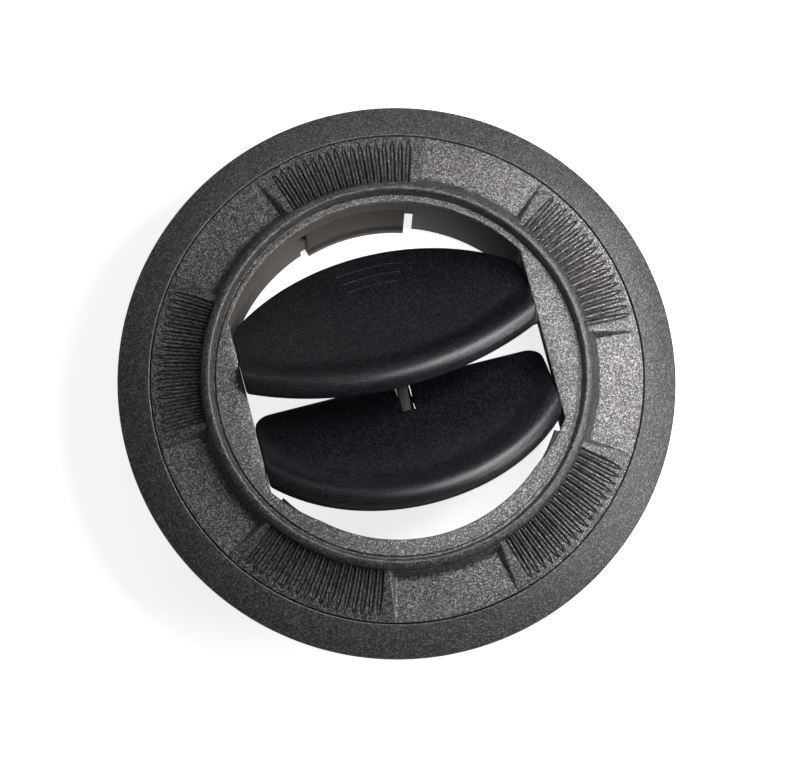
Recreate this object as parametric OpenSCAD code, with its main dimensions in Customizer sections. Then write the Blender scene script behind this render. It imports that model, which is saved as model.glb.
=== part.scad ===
// Round rotating air vent with two linked vanes.
// The panel face behind the flange is z = 0, the axis of the rotor is Z and the face looks to +Z.
// The vanes pivot about lines parallel to X, and the rotor's own up is +Y.

/* [Housing] */
// Outer diameter of the flange
flange_d = 96; // [92:0.5:104]
// Thickness of the flange at its outer edge
flange_edge_h = 1.3; // [0.8:0.1:2]
// Height of the flange's inner lip above the panel face
flange_lip_z = 4.4; // [3.8:0.1:4.8]
// Wall thickness of the flange's sloping skin
flange_wall = 1.8; // [1.4:0.1:2.4]
// Width of the flat rim that meets the panel
rim_w = 1.7; // [1.2:0.1:3]
// Height of the floor on which the grip ring turns
floor_z = 2.5; // [2.2:0.1:2.8]
// Thickness of that floor
floor_t = 1.7; // [1.2:0.1:2]
// Wall thickness of the bearing collar
collar_wall = 2; // [1.6:0.1:2.6]
// Depth of the bearing collar behind the panel face
collar_depth = 8.7; // [7:0.1:11]
// Number of stiffening ribs behind the flange
back_rib_count = 12; // [4:1:16]
// Thickness of each stiffening rib
back_rib_t = 1.2; // [0.8:0.1:2]

/* [Panel fixing] */
// Diameter of the cut-out in the panel
panel_hole_d = 77; // [76:0.5:78]
// Largest panel thickness that the tongues hold
panel_t = 3; // [1:0.5:4]
// Number of spring tongues
tongue_count = 4; // [2:1:6]
// Width of each tongue
tongue_w = 10; // [6:0.5:14]
// Thickness of each tongue
tongue_t = 1.5; // [1.2:0.1:1.8]
// Overhang of the barb beyond the cut-out's edge
barb_h = 0.9; // [0.5:0.1:1.4]
// Length of the barb's ramp
barb_ramp = 4; // [2.5:0.5:6]

/* [Grip ring] */
// Outer diameter of the grip ring
ring_d = 84; // [82:0.5:86]
// Gap round the grip ring inside the flange
seam_gap = 0.3; // [0.15:0.05:0.6]
// Height of the ring's surface at its outer edge
ring_edge_z = 4.5; // [4.2:0.1:5]
// Height of the ribbed surface at the bead
ring_inner_z = 7.2; // [6.6:0.1:7.6]
// Number of ribbed segments, with as many plain panels between them
segment_count = 5; // [3:1:6]
// Angle taken by the floor of each plain panel
panel_angle = 29.4; // [24:0.2:32]
// Height of a plain panel at its inner end
panel_inner_z = 5.1; // [4.7:0.1:5.8]
// Radius at which the slope down from the bead meets the panel
panel_inner_r = 34.5; // [34.2:0.1:35]
// Slope of a panel's side walls, from upright
panel_wall_tilt = 29; // [10:1:40]
// Number of ribs in each ribbed segment
rib_count = 18; // [9:1:18]
// Angle from one rib to the next
rib_pitch = 2; // [1.8:0.05:2.05]
// Width of a rib
rib_w = 0.27; // [0.2:0.01:0.35]
// Width of the groove that runs round each rib
groove_w = 0.4; // [0.25:0.01:0.42]
// Depth of the groove at its inner end
groove_depth = 1.1; // [0.5:0.1:1.3]
// Depth of the groove at its outer end
groove_end_depth = 0.3; // [0.1:0.1:0.5]
// Radius at which the groove's round nose ends
groove_tip_r = 41.45; // [40:0.05:41.5]
// Length of that round nose
groove_nose_l = 1.95; // [0.6:0.05:2.5]
// Diameter of the bead's crest
bead_d = 64.4; // [63.6:0.2:65]
// Radius of the bead's section
bead_r = 1.3; // [1:0.1:1.5]
// Height of the bead's crest
bead_top_z = 8.6; // [8:0.1:9.4]

/* [Front plate] */
// Height of the plate's face
plate_z = 6.2; // [5.8:0.1:6.8]
// Thickness of the plate
plate_t = 1.4; // [1.2:0.1:1.8]
// Radius of the opening above the cheeks
opening_top_r = 30.2; // [30:0.05:30.4]
// Radius of the opening at the wider bottom lip
opening_bottom_r = 28.15; // [28:0.05:29]
// Gap between the lip's corners and the closed lower vane
lip_gap = 0.4; // [0.3:0.05:0.6]
// Depth by which each flat cheek stands into the barrel's bore
cheek_inset = 4.15; // [3.7:0.05:4.4]

/* [Barrel] */
// Inner diameter of the barrel at its rear end
barrel_bore_d = 59.8; // [59:0.1:60]
// Widening of the bore's radius from the rear end to the plate
bore_draft = 0.3; // [0.1:0.05:0.4]
// Wall thickness of the barrel at its rear end
barrel_wall = 2.1; // [1.6:0.1:2.4]
// Radial running gap between barrel and collar
bearing_gap = 0.08; // [0.02:0.01:0.1]
// Depth of the barrel behind the panel face
barrel_depth = 14.5; // [12:0.1:18]
// Angle taken by each snap finger
finger_angle = 35; // [24:1:44]
// Width of the slots beside a finger
finger_slot_w = 1.6; // [1:0.1:2.4]
// Length by which a finger stands behind the barrel
finger_extra = 1.9; // [0.5:0.1:3]
// Height of the hook on a finger
hook_h = 0.9; // [0.4:0.1:1.4]
// Gap between a hook and the collar's rear edge
hook_gap = 0.12; // [0.05:0.01:0.3]
// Thickness of the pad inside a finger's tip
pad_t = 0.5; // [0.2:0.1:0.8]
// Thickness of the cheek walls that carry the vanes
cheek_wall_t = 1.8; // [1.4:0.1:2.2]
// Depth of the cheek walls behind the panel face
cheek_wall_depth = 6; // [4:0.5:10]

/* [Vanes] */
// Tilt of the vanes as they stand, from the closed plane
rest_tilt = 37; // [30:1:45]
// Tilt at which the vanes close the opening
closed_tilt = 11; // [11:0.5:14]
// Distance between the two pivot lines
pivot_pitch = 19; // [18.6:0.1:19.4]
// Height of the pivot lines above the panel face
pivot_z = 3.4; // [3:0.1:3.5]
// Gap between a vane's end and the cheek in front of it
vane_end_gap = 0.55; // [0.4:0.05:0.8]
// Thickness of a vane
vane_t = 2.2; // [1.8:0.1:2.4]
// Radius of the thick front edge
nose_r = 2.2; // [1.8:0.1:2.4]
// Height of the front edge's centre above the vane's middle plane
nose_lift = 0.3; // [0:0.1:0.5]
// Length over which the vane swells into its front edge
blend_l = 5; // [3:0.5:7]
// Reach of the upper vane behind its pivot
upper_rear = 17.7; // [17:0.1:17.9]
// Reach of the upper vane in front of its pivot
upper_front = 15.3; // [14.5:0.1:15.6]
// Radius of the upper vane's rear edge
upper_rear_r = 35; // [34.5:0.1:35.4]
// Radius of the upper vane's front edge
upper_front_r = 43; // [40:0.5:46]
// Reach of the lower vane behind its pivot
lower_rear = 11.9; // [11:0.1:12.4]
// Reach of the lower vane in front of its pivot
lower_front = 17.2; // [16.6:0.1:17.3]
// Radius of the lower vane's front edge
lower_front_r = 32.2; // [31.5:0.1:32.4]
// Radius of the upper vane's rear corners
upper_corner_r = 4; // [3.5:0.1:6]
// Radius of the lower vane's rear corners
lower_corner_r = 3; // [2:0.1:4]
// Radius of the front corners
front_corner_r = 3; // [2.5:0.1:5]
// Radius of the pivot pins
pin_r = 1.1; // [0.9:0.05:1.2]
// Radial running gap of the pins
pin_gap = 0.05; // [0.02:0.01:0.1]

/* [Link] */
// Distance from a vane's pivot back to the link's pin
link_back = 9.1; // [8.6:0.1:9.4]
// Depth of the link's pin under a vane's middle plane
link_under = 1.8; // [1.7:0.05:2]
// Place of the link along the vanes
link_x = 0.8; // [-2:0.1:2]
// Thickness of the link
link_t = 1.2; // [0.8:0.1:1.4]
// Height of the link bar
link_h = 2; // [1.6:0.1:2.4]
// Width of the notch that the link moves in
notch_w = 2.06; // [1.8:0.02:2.4]
// Length of the notch from the lower vane's rear edge
notch_len = 6.5; // [5:0.1:7.5]
// Radius of the link's pins
link_pin_r = 0.65; // [0.5:0.05:0.75]
// Radial gap of the link's pins
link_gap = 0.06; // [0.03:0.01:0.1]
// Radius of the link's eyes
eye_r = 1.3; // [1.2:0.05:1.4]

/* [Hidden] */
$fn = 128;
over = 1;
barrel_r = barrel_bore_d / 2 + barrel_wall;
collar_r = barrel_r + bearing_gap;
collar_out_r = collar_r + collar_wall;
flange_r = flange_d / 2;
ring_r = ring_d / 2;
seat_r = ring_r + seam_gap;
lip_chamfer = 0.3;
cheek_w = barrel_bore_d - 2 * cheek_inset;
vane_w = cheek_w - 2 * vane_end_gap;
ring_base_z = floor_z + 0.1;
plate_base_z = plate_z - plate_t;
bead_mid_r = bead_d / 2;
bead_mid_z = bead_top_z - bead_r;
bead_in_r = bead_mid_r - bead_r;
bead_out_r = bead_mid_r + bead_r;
band_out_r = ring_r - 0.2;
band_slope = (ring_inner_z - ring_edge_z) / (band_out_r - bead_out_r);
segment_step = 360 / segment_count;
tongue_out_r = panel_hole_d / 2 - 0.3;
finger_end_z = -barrel_depth - finger_extra;
upper_y = pivot_pitch / 2;
lower_y = -pivot_pitch / 2;

module housing() {
  color([0.17, 0.17, 0.175]) difference() {
    union() {
      rotate_extrude() housing_profile();
      back_ribs();
      for (i = [0:tongue_count - 1])
        rotate([0, 0, i * 360 / tongue_count]) tongue();
    }
    for (i = [0:tongue_count - 1])
      rotate([0, 0, i * 360 / tongue_count]) tongue_window();
  }
}

// Section of flange, floor and collar, as radius and height
module housing_profile() {
  edge_r = flange_r - 0.35;
  slope = (flange_lip_z - flange_edge_h) / (edge_r - seat_r - lip_chamfer);
  skin_drop = flange_wall * sqrt(1 + slope * slope);
  crown_r = seat_r + 1.2;
  crown_z = flange_lip_z - slope * (crown_r - seat_r - lip_chamfer) - skin_drop;
  polygon([
    [flange_r - 0.3, 0], [flange_r, 0.3], [flange_r, flange_edge_h - 0.3],
    [edge_r, flange_edge_h], [seat_r + lip_chamfer, flange_lip_z],
    [seat_r, flange_lip_z - lip_chamfer], [seat_r, floor_z], [collar_r, floor_z],
    [collar_r, -collar_depth], [collar_out_r - 0.5, -collar_depth],
    [collar_out_r, 0.5 - collar_depth], [collar_out_r, floor_z - floor_t],
    [seat_r, floor_z - floor_t], [crown_r, crown_z], [flange_r - rim_w, 0]
  ]);
}

// Thin radial ribs between the collar and the flange's rim
module back_ribs() {
  inner = collar_out_r - 0.2;
  outer = flange_r - rim_w + 0.1;
  for (i = [0:back_rib_count - 1])
    rotate([0, 0, (i + 0.5) * 360 / back_rib_count])
      translate([inner, -back_rib_t / 2, 0])
        cube([outer - inner, back_rib_t, floor_z - floor_t + 0.2]);
}

// Spring tongue with a barb that snaps behind the panel
module tongue() {
  half = asin(tongue_w / 2 / tongue_out_r);
  rotate([0, 0, -half]) rotate_extrude(angle = 2 * half) polygon([
    [tongue_out_r - tongue_t, floor_z - floor_t + 0.2],
    [tongue_out_r - tongue_t, -panel_t - barb_ramp - 1],
    [tongue_out_r - 0.4, -panel_t - barb_ramp - 1],
    [tongue_out_r + barb_h, -panel_t - 1],
    [tongue_out_r, -panel_t],
    [tongue_out_r, floor_z - floor_t + 0.2]
  ]);
}

// Mould window through the floor in front of each barb
module tongue_window() {
  half = asin(tongue_w / 2 / tongue_out_r);
  rotate([0, 0, -half]) rotate_extrude(angle = 2 * half) polygon([
    [tongue_out_r + 0.01, -0.01], [tongue_out_r + barb_h + 0.4, -0.01],
    [tongue_out_r + barb_h + 0.4, floor_z + over], [tongue_out_r + 0.01, floor_z + over]
  ]);
}

module grip_ring() {
  color([0.2, 0.2, 0.205]) difference() {
    union() {
      rotate_extrude() ring_profile();
      ring_keys();
    }
    opening();
    for (i = [0:segment_count - 1])
      rotate([0, 0, 90 + (i + 0.5) * segment_step]) panel_recess();
    for (i = [0:segment_count - 1], j = [0:rib_count - 1])
      rotate([0, 0, 90 + i * segment_step + (j - (rib_count - 1) / 2) * rib_pitch]) rib_groove();
  }
}

// Section of the ring with its bead, plate and socket, as radius and height
module ring_profile() {
  socket_r = barrel_r + 0.05;
  core_in = socket_r + 1.5;
  core_out = ring_r - 1.5;
  difference() {
    union() {
      polygon([
        [opening_bottom_r - over, plate_base_z], [opening_bottom_r - over, plate_z],
        [bead_in_r, plate_z], [bead_in_r, bead_mid_z], [bead_out_r, bead_mid_z],
        [bead_out_r, ring_inner_z], [band_out_r, ring_edge_z], [ring_r, ring_edge_z - 0.2],
        [ring_r, ring_base_z], [socket_r, ring_base_z], [socket_r, plate_base_z]
      ]);
      translate([bead_mid_r, bead_mid_z]) circle(r = bead_r);
    }
    polygon([
      [core_in, ring_base_z - over], [core_in, ring_base_z + 0.9],
      [core_out, ring_base_z + 0.5], [core_out, ring_base_z - over]
    ]);
  }
}

// Keys under the plate that lock the barrel's cheek walls to the ring
module ring_keys() {
  key_l = 8;
  inner_x = vane_w / 2 + 0.4 + cheek_wall_t + 0.1;
  outer_x = sqrt(pow(barrel_bore_d / 2, 2) - pow(key_l / 2, 2)) - 0.15;
  for (side = [-1, 1])
    translate([side * (inner_x + outer_x) / 2, 0, plate_base_z - 0.9])
      cube([outer_x - inner_x, key_l, 2], center = true);
}

// Through opening: two flat cheeks, a round top and the tighter bottom lip
module opening() {
  lip_t = 0.5;
  translate([0, 0, plate_base_z - over]) linear_extrude(plate_t + 2 * over) opening_outline(0);
  translate([0, 0, plate_base_z - over]) linear_extrude(plate_t - lip_t + over) opening_outline(0.8);
}

// The lip's corners step back to follow the closed lower vane
module opening_outline(grow) {
  vane_arc_y = lower_y + (lower_front_r - lower_front) * cos(closed_tilt);
  intersection() {
    square([cheek_w, 3 * opening_top_r], center = true);
    union() {
      circle(r = opening_bottom_r + grow);
      intersection() {
        circle(r = opening_top_r);
        union() {
          translate([-opening_top_r, 0]) square([2 * opening_top_r, opening_top_r]);
          translate([0, vane_arc_y]) circle(r = lower_front_r + lip_gap + grow);
        }
      }
    }
  }
}

// Plain panel: it slopes down from the bead, has sloping sides and runs out at the ring's outer edge
module panel_recess() {
  sweep = panel_angle + 12;
  difference() {
    rotate([0, 0, -sweep / 2]) rotate_extrude(angle = sweep) polygon([
      [bead_out_r + 0.02, bead_mid_z], [panel_inner_r, panel_inner_z], [band_out_r, ring_edge_z - 0.03],
      [ring_r + over, ring_edge_z - 0.05], [ring_r + over, ring_inner_z + over],
      [bead_out_r + 0.02, ring_inner_z + over]
    ]);
    for (side = [-1, 1]) rotate([0, 0, side * panel_angle / 2]) panel_side(side);
  }
}

// Block that leaves the ring whole beyond a panel's side wall, hinged on the wall's foot
module panel_side(side) {
  block = 12;
  floor_fall = atan((panel_inner_z - ring_edge_z) / (band_out_r - panel_inner_r));
  translate([panel_inner_r, 0, panel_inner_z]) rotate([0, floor_fall, 0]) rotate([-side * panel_wall_tilt, 0, 0])
    translate([-block / 3, side > 0 ? 0 : -block, -block / 2]) cube([1.5 * block, block, block]);
}

// Groove that runs round one rib; its floor rises towards the ring's edge
module rib_groove() {
  start_r = bead_out_r - 0.15;
  len = groove_tip_r - start_r;
  floor_z_in = ring_inner_z - groove_depth;
  floor_z_out = ring_inner_z - band_slope * (groove_tip_r - bead_out_r) - groove_end_depth;
  fall = atan((floor_z_in - floor_z_out) / len);
  translate([start_r, 0, floor_z_in]) rotate([0, fall, 0]) linear_extrude(groove_depth + over) difference() {
    bullet(len, rib_w / 2 + groove_w, groove_nose_l);
    translate([-over, 0]) bullet(len + over - 1.7 * groove_w, rib_w / 2, rib_w);
  }
}

// Strip from x = 0 that ends in half an ellipse
module bullet(len, half_w, nose_l) {
  translate([0, -half_w]) square([len - nose_l, 2 * half_w]);
  translate([len - nose_l, 0]) scale([nose_l / half_w, 1]) circle(r = half_w, $fn = 16);
}

module barrel() {
  color([0.2, 0.185, 0.17]) union() {
    difference() {
      rotate_extrude() polygon([
        [bore_r(plate_base_z), plate_base_z], [bore_r(-barrel_depth), -barrel_depth],
        [barrel_r - 0.4, -barrel_depth], [barrel_r, 0.4 - barrel_depth], [barrel_r, plate_base_z]
      ]);
      for (turn = [0, 180]) rotate([0, 0, turn]) finger_gap();
    }
    for (turn = [0, 180]) rotate([0, 0, turn]) finger();
    for (side = [-1, 1]) cheek_wall(side);
  }
}

// Radius of the drafted bore at a height
function bore_r(z) = barrel_bore_d / 2 + bore_draft * (z + barrel_depth) / (plate_base_z + barrel_depth);

// Room for a finger and its two slots, open at the back
module finger_gap() {
  gap_angle = finger_angle + 2 * slot_angle();
  rotate([0, 0, 90 - gap_angle / 2]) rotate_extrude(angle = gap_angle) polygon([
    [barrel_bore_d / 2 - over, finger_root_z()], [barrel_r + over, finger_root_z()],
    [barrel_r + over, -barrel_depth - over], [barrel_bore_d / 2 - over, -barrel_depth - over]
  ]);
}

function slot_angle() = finger_slot_w / (barrel_bore_d / 2) * 180 / PI;
function finger_root_z() = plate_base_z - 1.3;

// Spring finger whose hook runs behind the collar, with a pad inside its tip.
// It is a little thinner than the barrel's wall, on the inside.
module finger() {
  thinning = 0.06;
  hook_z = -collar_depth - hook_gap;
  pad_z = finger_end_z + 3;
  pad_r = bore_r(pad_z) - pad_t;
  root_z = finger_root_z() + 0.5;
  rotate([0, 0, 90 - finger_angle / 2]) rotate_extrude(angle = finger_angle) polygon([
    [bore_r(root_z) + thinning, root_z], [bore_r(pad_z) + thinning, pad_z], [pad_r, pad_z - pad_t],
    [pad_r, finger_end_z], [barrel_r - 0.5, finger_end_z],
    [barrel_r + hook_h, hook_z - 2], [barrel_r + hook_h, hook_z], [barrel_r, hook_z],
    [barrel_r, root_z]
  ]);
}

// Flat wall beside the vane ends, with a bearing for each pin that the front plate closes
module cheek_wall(side) {
  inner_x = vane_w / 2 + 0.4;
  half_l = sqrt(pow(barrel_bore_d / 2 + 0.5, 2) - pow(inner_x, 2));
  bearing_r = pin_r + pin_gap;
  cut_t = cheek_wall_t + 2 * over;
  difference() {
    intersection() {
      translate([side > 0 ? inner_x : -inner_x - cheek_wall_t, -half_l, -cheek_wall_depth])
        cube([cheek_wall_t, 2 * half_l, plate_base_z + cheek_wall_depth]);
      translate([0, 0, -cheek_wall_depth]) cylinder(r = barrel_r - 0.5, h = plate_base_z + cheek_wall_depth);
    }
    for (y = [upper_y, lower_y]) translate([side * (inner_x + cheek_wall_t / 2), y, pivot_z]) {
      rotate([0, 90, 0]) cylinder(r = bearing_r, h = cut_t, center = true);
      translate([0, 0, plate_z / 2]) cube([cut_t, 2 * bearing_r, plate_z], center = true);
    }
  }
}

// Even blend from 0 to 1 that starts and ends level
function smooth(t) = (1 - cos(180 * t)) / 2;

// Disc whose rim is the thick front edge, centred on that edge's own arc
module nose_disc(rim_r) {
  nose_in = rim_r - nose_r;
  steps = 8;
  top_rise = nose_lift + nose_r - vane_t / 2;
  base_rise = nose_r - nose_lift - vane_t / 2;
  rotate_extrude() {
    polygon(concat(
      [[0, -vane_t / 2]],
      [for (i = [0:steps]) [nose_in - blend_l * (1 - i / steps), -vane_t / 2 - base_rise * smooth(i / steps)]],
      [for (i = [steps:-1:0]) [nose_in - blend_l * (1 - i / steps), vane_t / 2 + top_rise * smooth(i / steps)]],
      [[0, vane_t / 2]]
    ));
    translate([nose_in, nose_lift]) circle(r = nose_r);
  }
}

// Disc with a fully rounded rim, for a curved rear edge
module rear_disc(rim_r) {
  rotate_extrude() {
    translate([0, -vane_t / 2]) square([rim_r - vane_t / 2, vane_t]);
    translate([rim_r - vane_t / 2, 0]) circle(r = vane_t / 2);
  }
}

// Pins on both ends, on the pivot line
module end_pins() {
  reach = vane_w / 2 + 0.4 + cheek_wall_t;
  hub_r = 1.9;
  for (side = [-1, 1]) rotate([0, side * 90, 0]) {
    cylinder(r = pin_r, h = reach);
    translate([side * (hub_r - vane_t / 2), 0, vane_w / 2 - 5]) cylinder(r = hub_r, h = 5);
  }
}

// Two ears under the vane with the link's pin across them
module link_ears() {
  ear_t = 1.2;
  ear_r = 1.6;
  for (side = [-1, 1])
    translate([link_x + side * (notch_w + ear_t) / 2, link_back, 0]) {
      translate([0, 0, -link_under]) rotate([0, 90, 0]) cylinder(r = ear_r, h = ear_t, center = true);
      translate([0, 0, -link_under / 2]) cube([ear_t, 2 * ear_r, link_under], center = true);
    }
  translate([link_x, link_back, -link_under]) rotate([0, 90, 0])
    cylinder(r = link_pin_r, h = notch_w + ear_t, center = true);
}

module place_vane(pivot_y) {
  translate([0, pivot_y, pivot_z]) rotate([-rest_tilt, 0, 0]) children();
}

module upper_vane() {
  rear_y = upper_rear - upper_rear_r;
  front_y = upper_front_r - upper_front;
  color([0.1, 0.1, 0.11]) place_vane(upper_y) {
    difference() {
      intersection() {
        translate([0, front_y, 0]) nose_disc(upper_front_r);
        union() {
          translate([0, rear_y, 0]) rear_disc(upper_rear_r);
          translate([-vane_w / 2, -2 * nose_r - upper_front, -2 * nose_r])
            cube([vane_w, upper_front + 2 * nose_r, 4 * nose_r]);
        }
        linear_extrude(4 * nose_r, center = true) difference() {
          square([vane_w, 3 * vane_w], center = true);
          corner_trim(rear_y, upper_rear_r, upper_corner_r, 1);
          corner_trim(front_y, upper_front_r, front_corner_r, -1);
        }
      }
      translate([link_x - notch_w / 2, link_back - notch_w - 1.8, -vane_t])
        cube([notch_w, 5.6, vane_t - 0.35]);
    }
    link_ears();
    end_pins();
    for (i = [0:2]) grip_line(i, rear_y);
  }
}

// Fine raised line that follows the rear edge
module grip_line(i, rear_y) {
  line_r = upper_rear_r - 4.2 - 1.9 * i;
  line_len = 11.6 - 1.4 * i;
  turn = line_len / line_r * 180 / PI;
  translate([0, rear_y, vane_t / 2 - 0.1]) rotate([0, 0, 90 - turn / 2])
    rotate_extrude(angle = turn) translate([line_r, 0]) square([0.24, 0.22]);
}

// What a round corner takes off where an arc about (0, arc_y) meets the straight ends
module corner_trim(arc_y, arc_r, round_r, side_y) {
  half = vane_w / 2;
  centre_x = half - round_r;
  rise = sqrt(pow(arc_r - round_r, 2) - pow(centre_x, 2));
  centre_y = arc_y + side_y * rise;
  reach = 4 * round_r / (arc_r - round_r);
  for (side = [-1, 1]) difference() {
    polygon([
      [side * centre_x, centre_y], [side * (half + over), centre_y],
      [side * (half + over), centre_y + side_y * 4 * round_r],
      [side * centre_x * (1 + reach), centre_y + side_y * rise * reach]
    ]);
    translate([side * centre_x, centre_y]) circle(r = round_r);
  }
}

module lower_vane() {
  front_y = lower_front_r - lower_front;
  color([0.1, 0.1, 0.11]) place_vane(lower_y) {
    difference() {
      intersection() {
        translate([0, front_y, 0]) nose_disc(lower_front_r);
        straight_rear(front_y);
      }
      translate([link_x - notch_w / 2, lower_rear - notch_len, -2 * vane_t])
        cube([notch_w, notch_len + over, 4 * vane_t]);
    }
    link_ears();
    end_pins();
  }
}

// Slab with straight ends, a rounded straight rear edge and rounded corners
module straight_rear(front_y) {
  half = vane_w / 2;
  edge_r = vane_t / 2;
  front_l = lower_front + 2 * nose_r;
  intersection() {
    union() {
      translate([-half, -front_l, -2 * nose_r]) cube([vane_w, front_l, 4 * nose_r]);
      translate([-half, 0, -edge_r]) cube([vane_w, lower_rear - edge_r, vane_t]);
      translate([0, lower_rear - edge_r, 0]) rotate([0, 90, 0]) cylinder(r = edge_r, h = vane_w, center = true);
    }
    linear_extrude(4 * nose_r, center = true) difference() {
      union() {
        translate([-half, -front_l]) square([vane_w, front_l + lower_rear - lower_corner_r]);
        translate([lower_corner_r - half, 0]) square([vane_w - 2 * lower_corner_r, lower_rear]);
        for (side = [-1, 1])
          translate([side * (half - lower_corner_r), lower_rear - lower_corner_r]) circle(r = lower_corner_r);
      }
      corner_trim(front_y, lower_front_r, front_corner_r, -1);
    }
  }
}

module link_bar() {
  pin_y = link_back * cos(rest_tilt) - link_under * sin(rest_tilt);
  pin_z = -link_back * sin(rest_tilt) - link_under * cos(rest_tilt);
  color([0.24, 0.24, 0.25]) translate([link_x - link_t / 2, lower_y + pin_y, pivot_z + pin_z])
    rotate([90, 0, 90]) linear_extrude(link_t) difference() {
      union() {
        translate([0, -link_h / 2]) square([pivot_pitch, link_h]);
        for (x = [0, pivot_pitch]) translate([x, 0]) circle(r = eye_r);
      }
      for (x = [0, pivot_pitch]) translate([x, 0]) circle(r = link_pin_r + link_gap);
    }
}

housing();
grip_ring();
barrel();
upper_vane();
lower_vane();
link_bar();
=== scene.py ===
import math

import bpy
import numpy as np
from mathutils import Matrix, Vector


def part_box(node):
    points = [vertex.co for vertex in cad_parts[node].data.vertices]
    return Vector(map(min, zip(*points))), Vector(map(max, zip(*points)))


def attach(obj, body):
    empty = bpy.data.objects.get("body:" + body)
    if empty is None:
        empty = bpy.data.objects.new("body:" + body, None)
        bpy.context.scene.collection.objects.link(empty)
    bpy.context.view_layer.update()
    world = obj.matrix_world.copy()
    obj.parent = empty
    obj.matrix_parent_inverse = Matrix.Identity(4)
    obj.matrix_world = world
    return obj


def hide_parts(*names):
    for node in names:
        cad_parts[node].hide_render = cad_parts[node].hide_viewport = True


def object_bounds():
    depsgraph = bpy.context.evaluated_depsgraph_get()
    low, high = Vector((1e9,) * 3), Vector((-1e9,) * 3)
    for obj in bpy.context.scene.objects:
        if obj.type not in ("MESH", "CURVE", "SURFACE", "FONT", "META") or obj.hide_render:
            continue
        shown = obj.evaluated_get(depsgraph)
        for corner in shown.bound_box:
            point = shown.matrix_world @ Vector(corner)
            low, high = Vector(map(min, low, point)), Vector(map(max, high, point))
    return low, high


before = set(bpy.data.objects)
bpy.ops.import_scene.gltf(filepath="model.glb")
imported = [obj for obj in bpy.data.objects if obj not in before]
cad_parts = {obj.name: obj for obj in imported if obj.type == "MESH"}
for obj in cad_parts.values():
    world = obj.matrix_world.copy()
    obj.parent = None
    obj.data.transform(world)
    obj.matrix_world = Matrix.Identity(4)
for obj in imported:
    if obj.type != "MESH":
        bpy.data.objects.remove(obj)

cad_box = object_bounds()
MM = 0.001
scene = bpy.context.scene

# Sizes of the vent are in millimetres and degrees, in the row frame

# Flange, collar and tongues
FLANGE_R = cad_box[1][0] / MM
FLANGE_EDGE_Z = 1.3
FLANGE_LIP_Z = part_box("housing")[1].z / MM
FLANGE_WALL = 1.8
RIM_W = 1.7
FLOOR_Z = 2.5
FLOOR_T = 1.7
SEAT_R = 42.3
COLLAR_R = 32.08
COLLAR_T = 2.0
COLLAR_OUT_R = COLLAR_R + COLLAR_T
COLLAR_END_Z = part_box("housing")[0].z / MM
BACK_RIBS = 12
BACK_RIB_T = 1.2
TONGUES = 4
TONGUE_R = 38.2
TONGUE_W = 10.0
TONGUE_T = 1.5
BARB_H = 0.9
BARB_RAMP = 4.0
PANEL_T = 3.0

# Grip ring: edge, bead, plate and opening
RING_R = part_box("grip_ring")[1].x / MM
RING_BASE_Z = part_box("grip_ring")[0].z / MM
RING_EDGE_Z = 4.5
RING_INNER_Z = 7.2
SEAM_GAP = 0.18
SEAM_R = SEAT_R - SEAM_GAP
BEAD_R = 1.3
BEAD_MID_R = 32.2
BEAD_MID_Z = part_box("grip_ring")[1].z / MM - BEAD_R
PLATE_Z = 6.2
PLATE_BASE_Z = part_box("barrel")[1].z / MM
OPENING_TOP_R = 30.2
OPENING_BOTTOM_R = 28.15
CHEEK_X = 25.75
LIP_GAP = 0.05

# Grip ring: ribbed segments and the panels between them
SEGMENTS = 5
SEGMENT_STEP = 360 / SEGMENTS
RIBS = 18
RIB_PITCH = 2.0
BAND_IN = BEAD_MID_R + BEAD_R
BAND_OUT = RING_R - 0.2
PANEL_FOOT = 21.3
PANEL_FLOOR_R = 34.5
PANEL_FLOOR_Z = 5.1
PANEL_WALL_LEAN = 29.0

# Barrel: tube, snap fingers and cheek walls
BARREL_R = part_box("barrel")[1].x / MM
BORE_REAR_R = 29.9
BORE_FRONT_R = 30.2
BARREL_END_Z = -14.5
FINGER_END_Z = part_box("barrel")[0].z / MM
FINGER_ROOT_Z = 0.0
FINGER_ANGLE = 34.1
SLOT_ANGLE = 2.75
CHEEK_WALL_T = 1.8
CHEEK_WALL_Z = -6.0
BEARING_X = CHEEK_X
WALL_SET_BACK = 0.9
WALL_BACK_X = BEARING_X + WALL_SET_BACK
WALL_BACK_LOW = -6.6
WALL_BACK_HIGH = 4.6

# Vanes, measured from their pivot line in their own level place, and how they stand at rest and closed
PIVOT_Y = 9.5
PIVOT_Z = 3.4
TILT = 37.0
CLOSED_TILT = 11.0
VANE_GAP = 0.07
VANE_HALF = CHEEK_X - VANE_GAP
VANE_T = 2.2
NOSE_R = 2.2
NOSE_LIFT = 0.3
BLEND_L = 5.0
CORNER_R = 3.0
PIN_R = 1.1
UPPER_FRONT = 15.3
UPPER_FRONT_R = 48.0
UPPER_REAR = 17.7
UPPER_REAR_R = 35.0
UPPER_REAR_CORNER_R = 5.0
LOWER_FRONT = 17.2
LOWER_FRONT_R = 32.2
LOWER_REAR = 11.9
NEARLY_STRAIGHT_R = 4000.0
GRIP_LINES = 3
GRIP_LINE_L = 12.3
GRIP_LINE_T = 0.17

# Link and its notch
LINK_X = 0.8
LINK_BACK = 9.1
LINK_UNDER = 1.8
LINK_W = 2.25
LINK_H = 2.0
LINK_TAIL = 2.4
LINK_PIN_R = 0.65
NOTCH_W = 2.7
NOTCH_L = 8.0


# Shader helpers
def new_material(name):
    """A material with an empty node tree, and that tree."""
    mat = bpy.data.materials.new(name)
    mat.use_nodes = True
    mat.node_tree.nodes.clear()
    return mat, mat.node_tree


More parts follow.
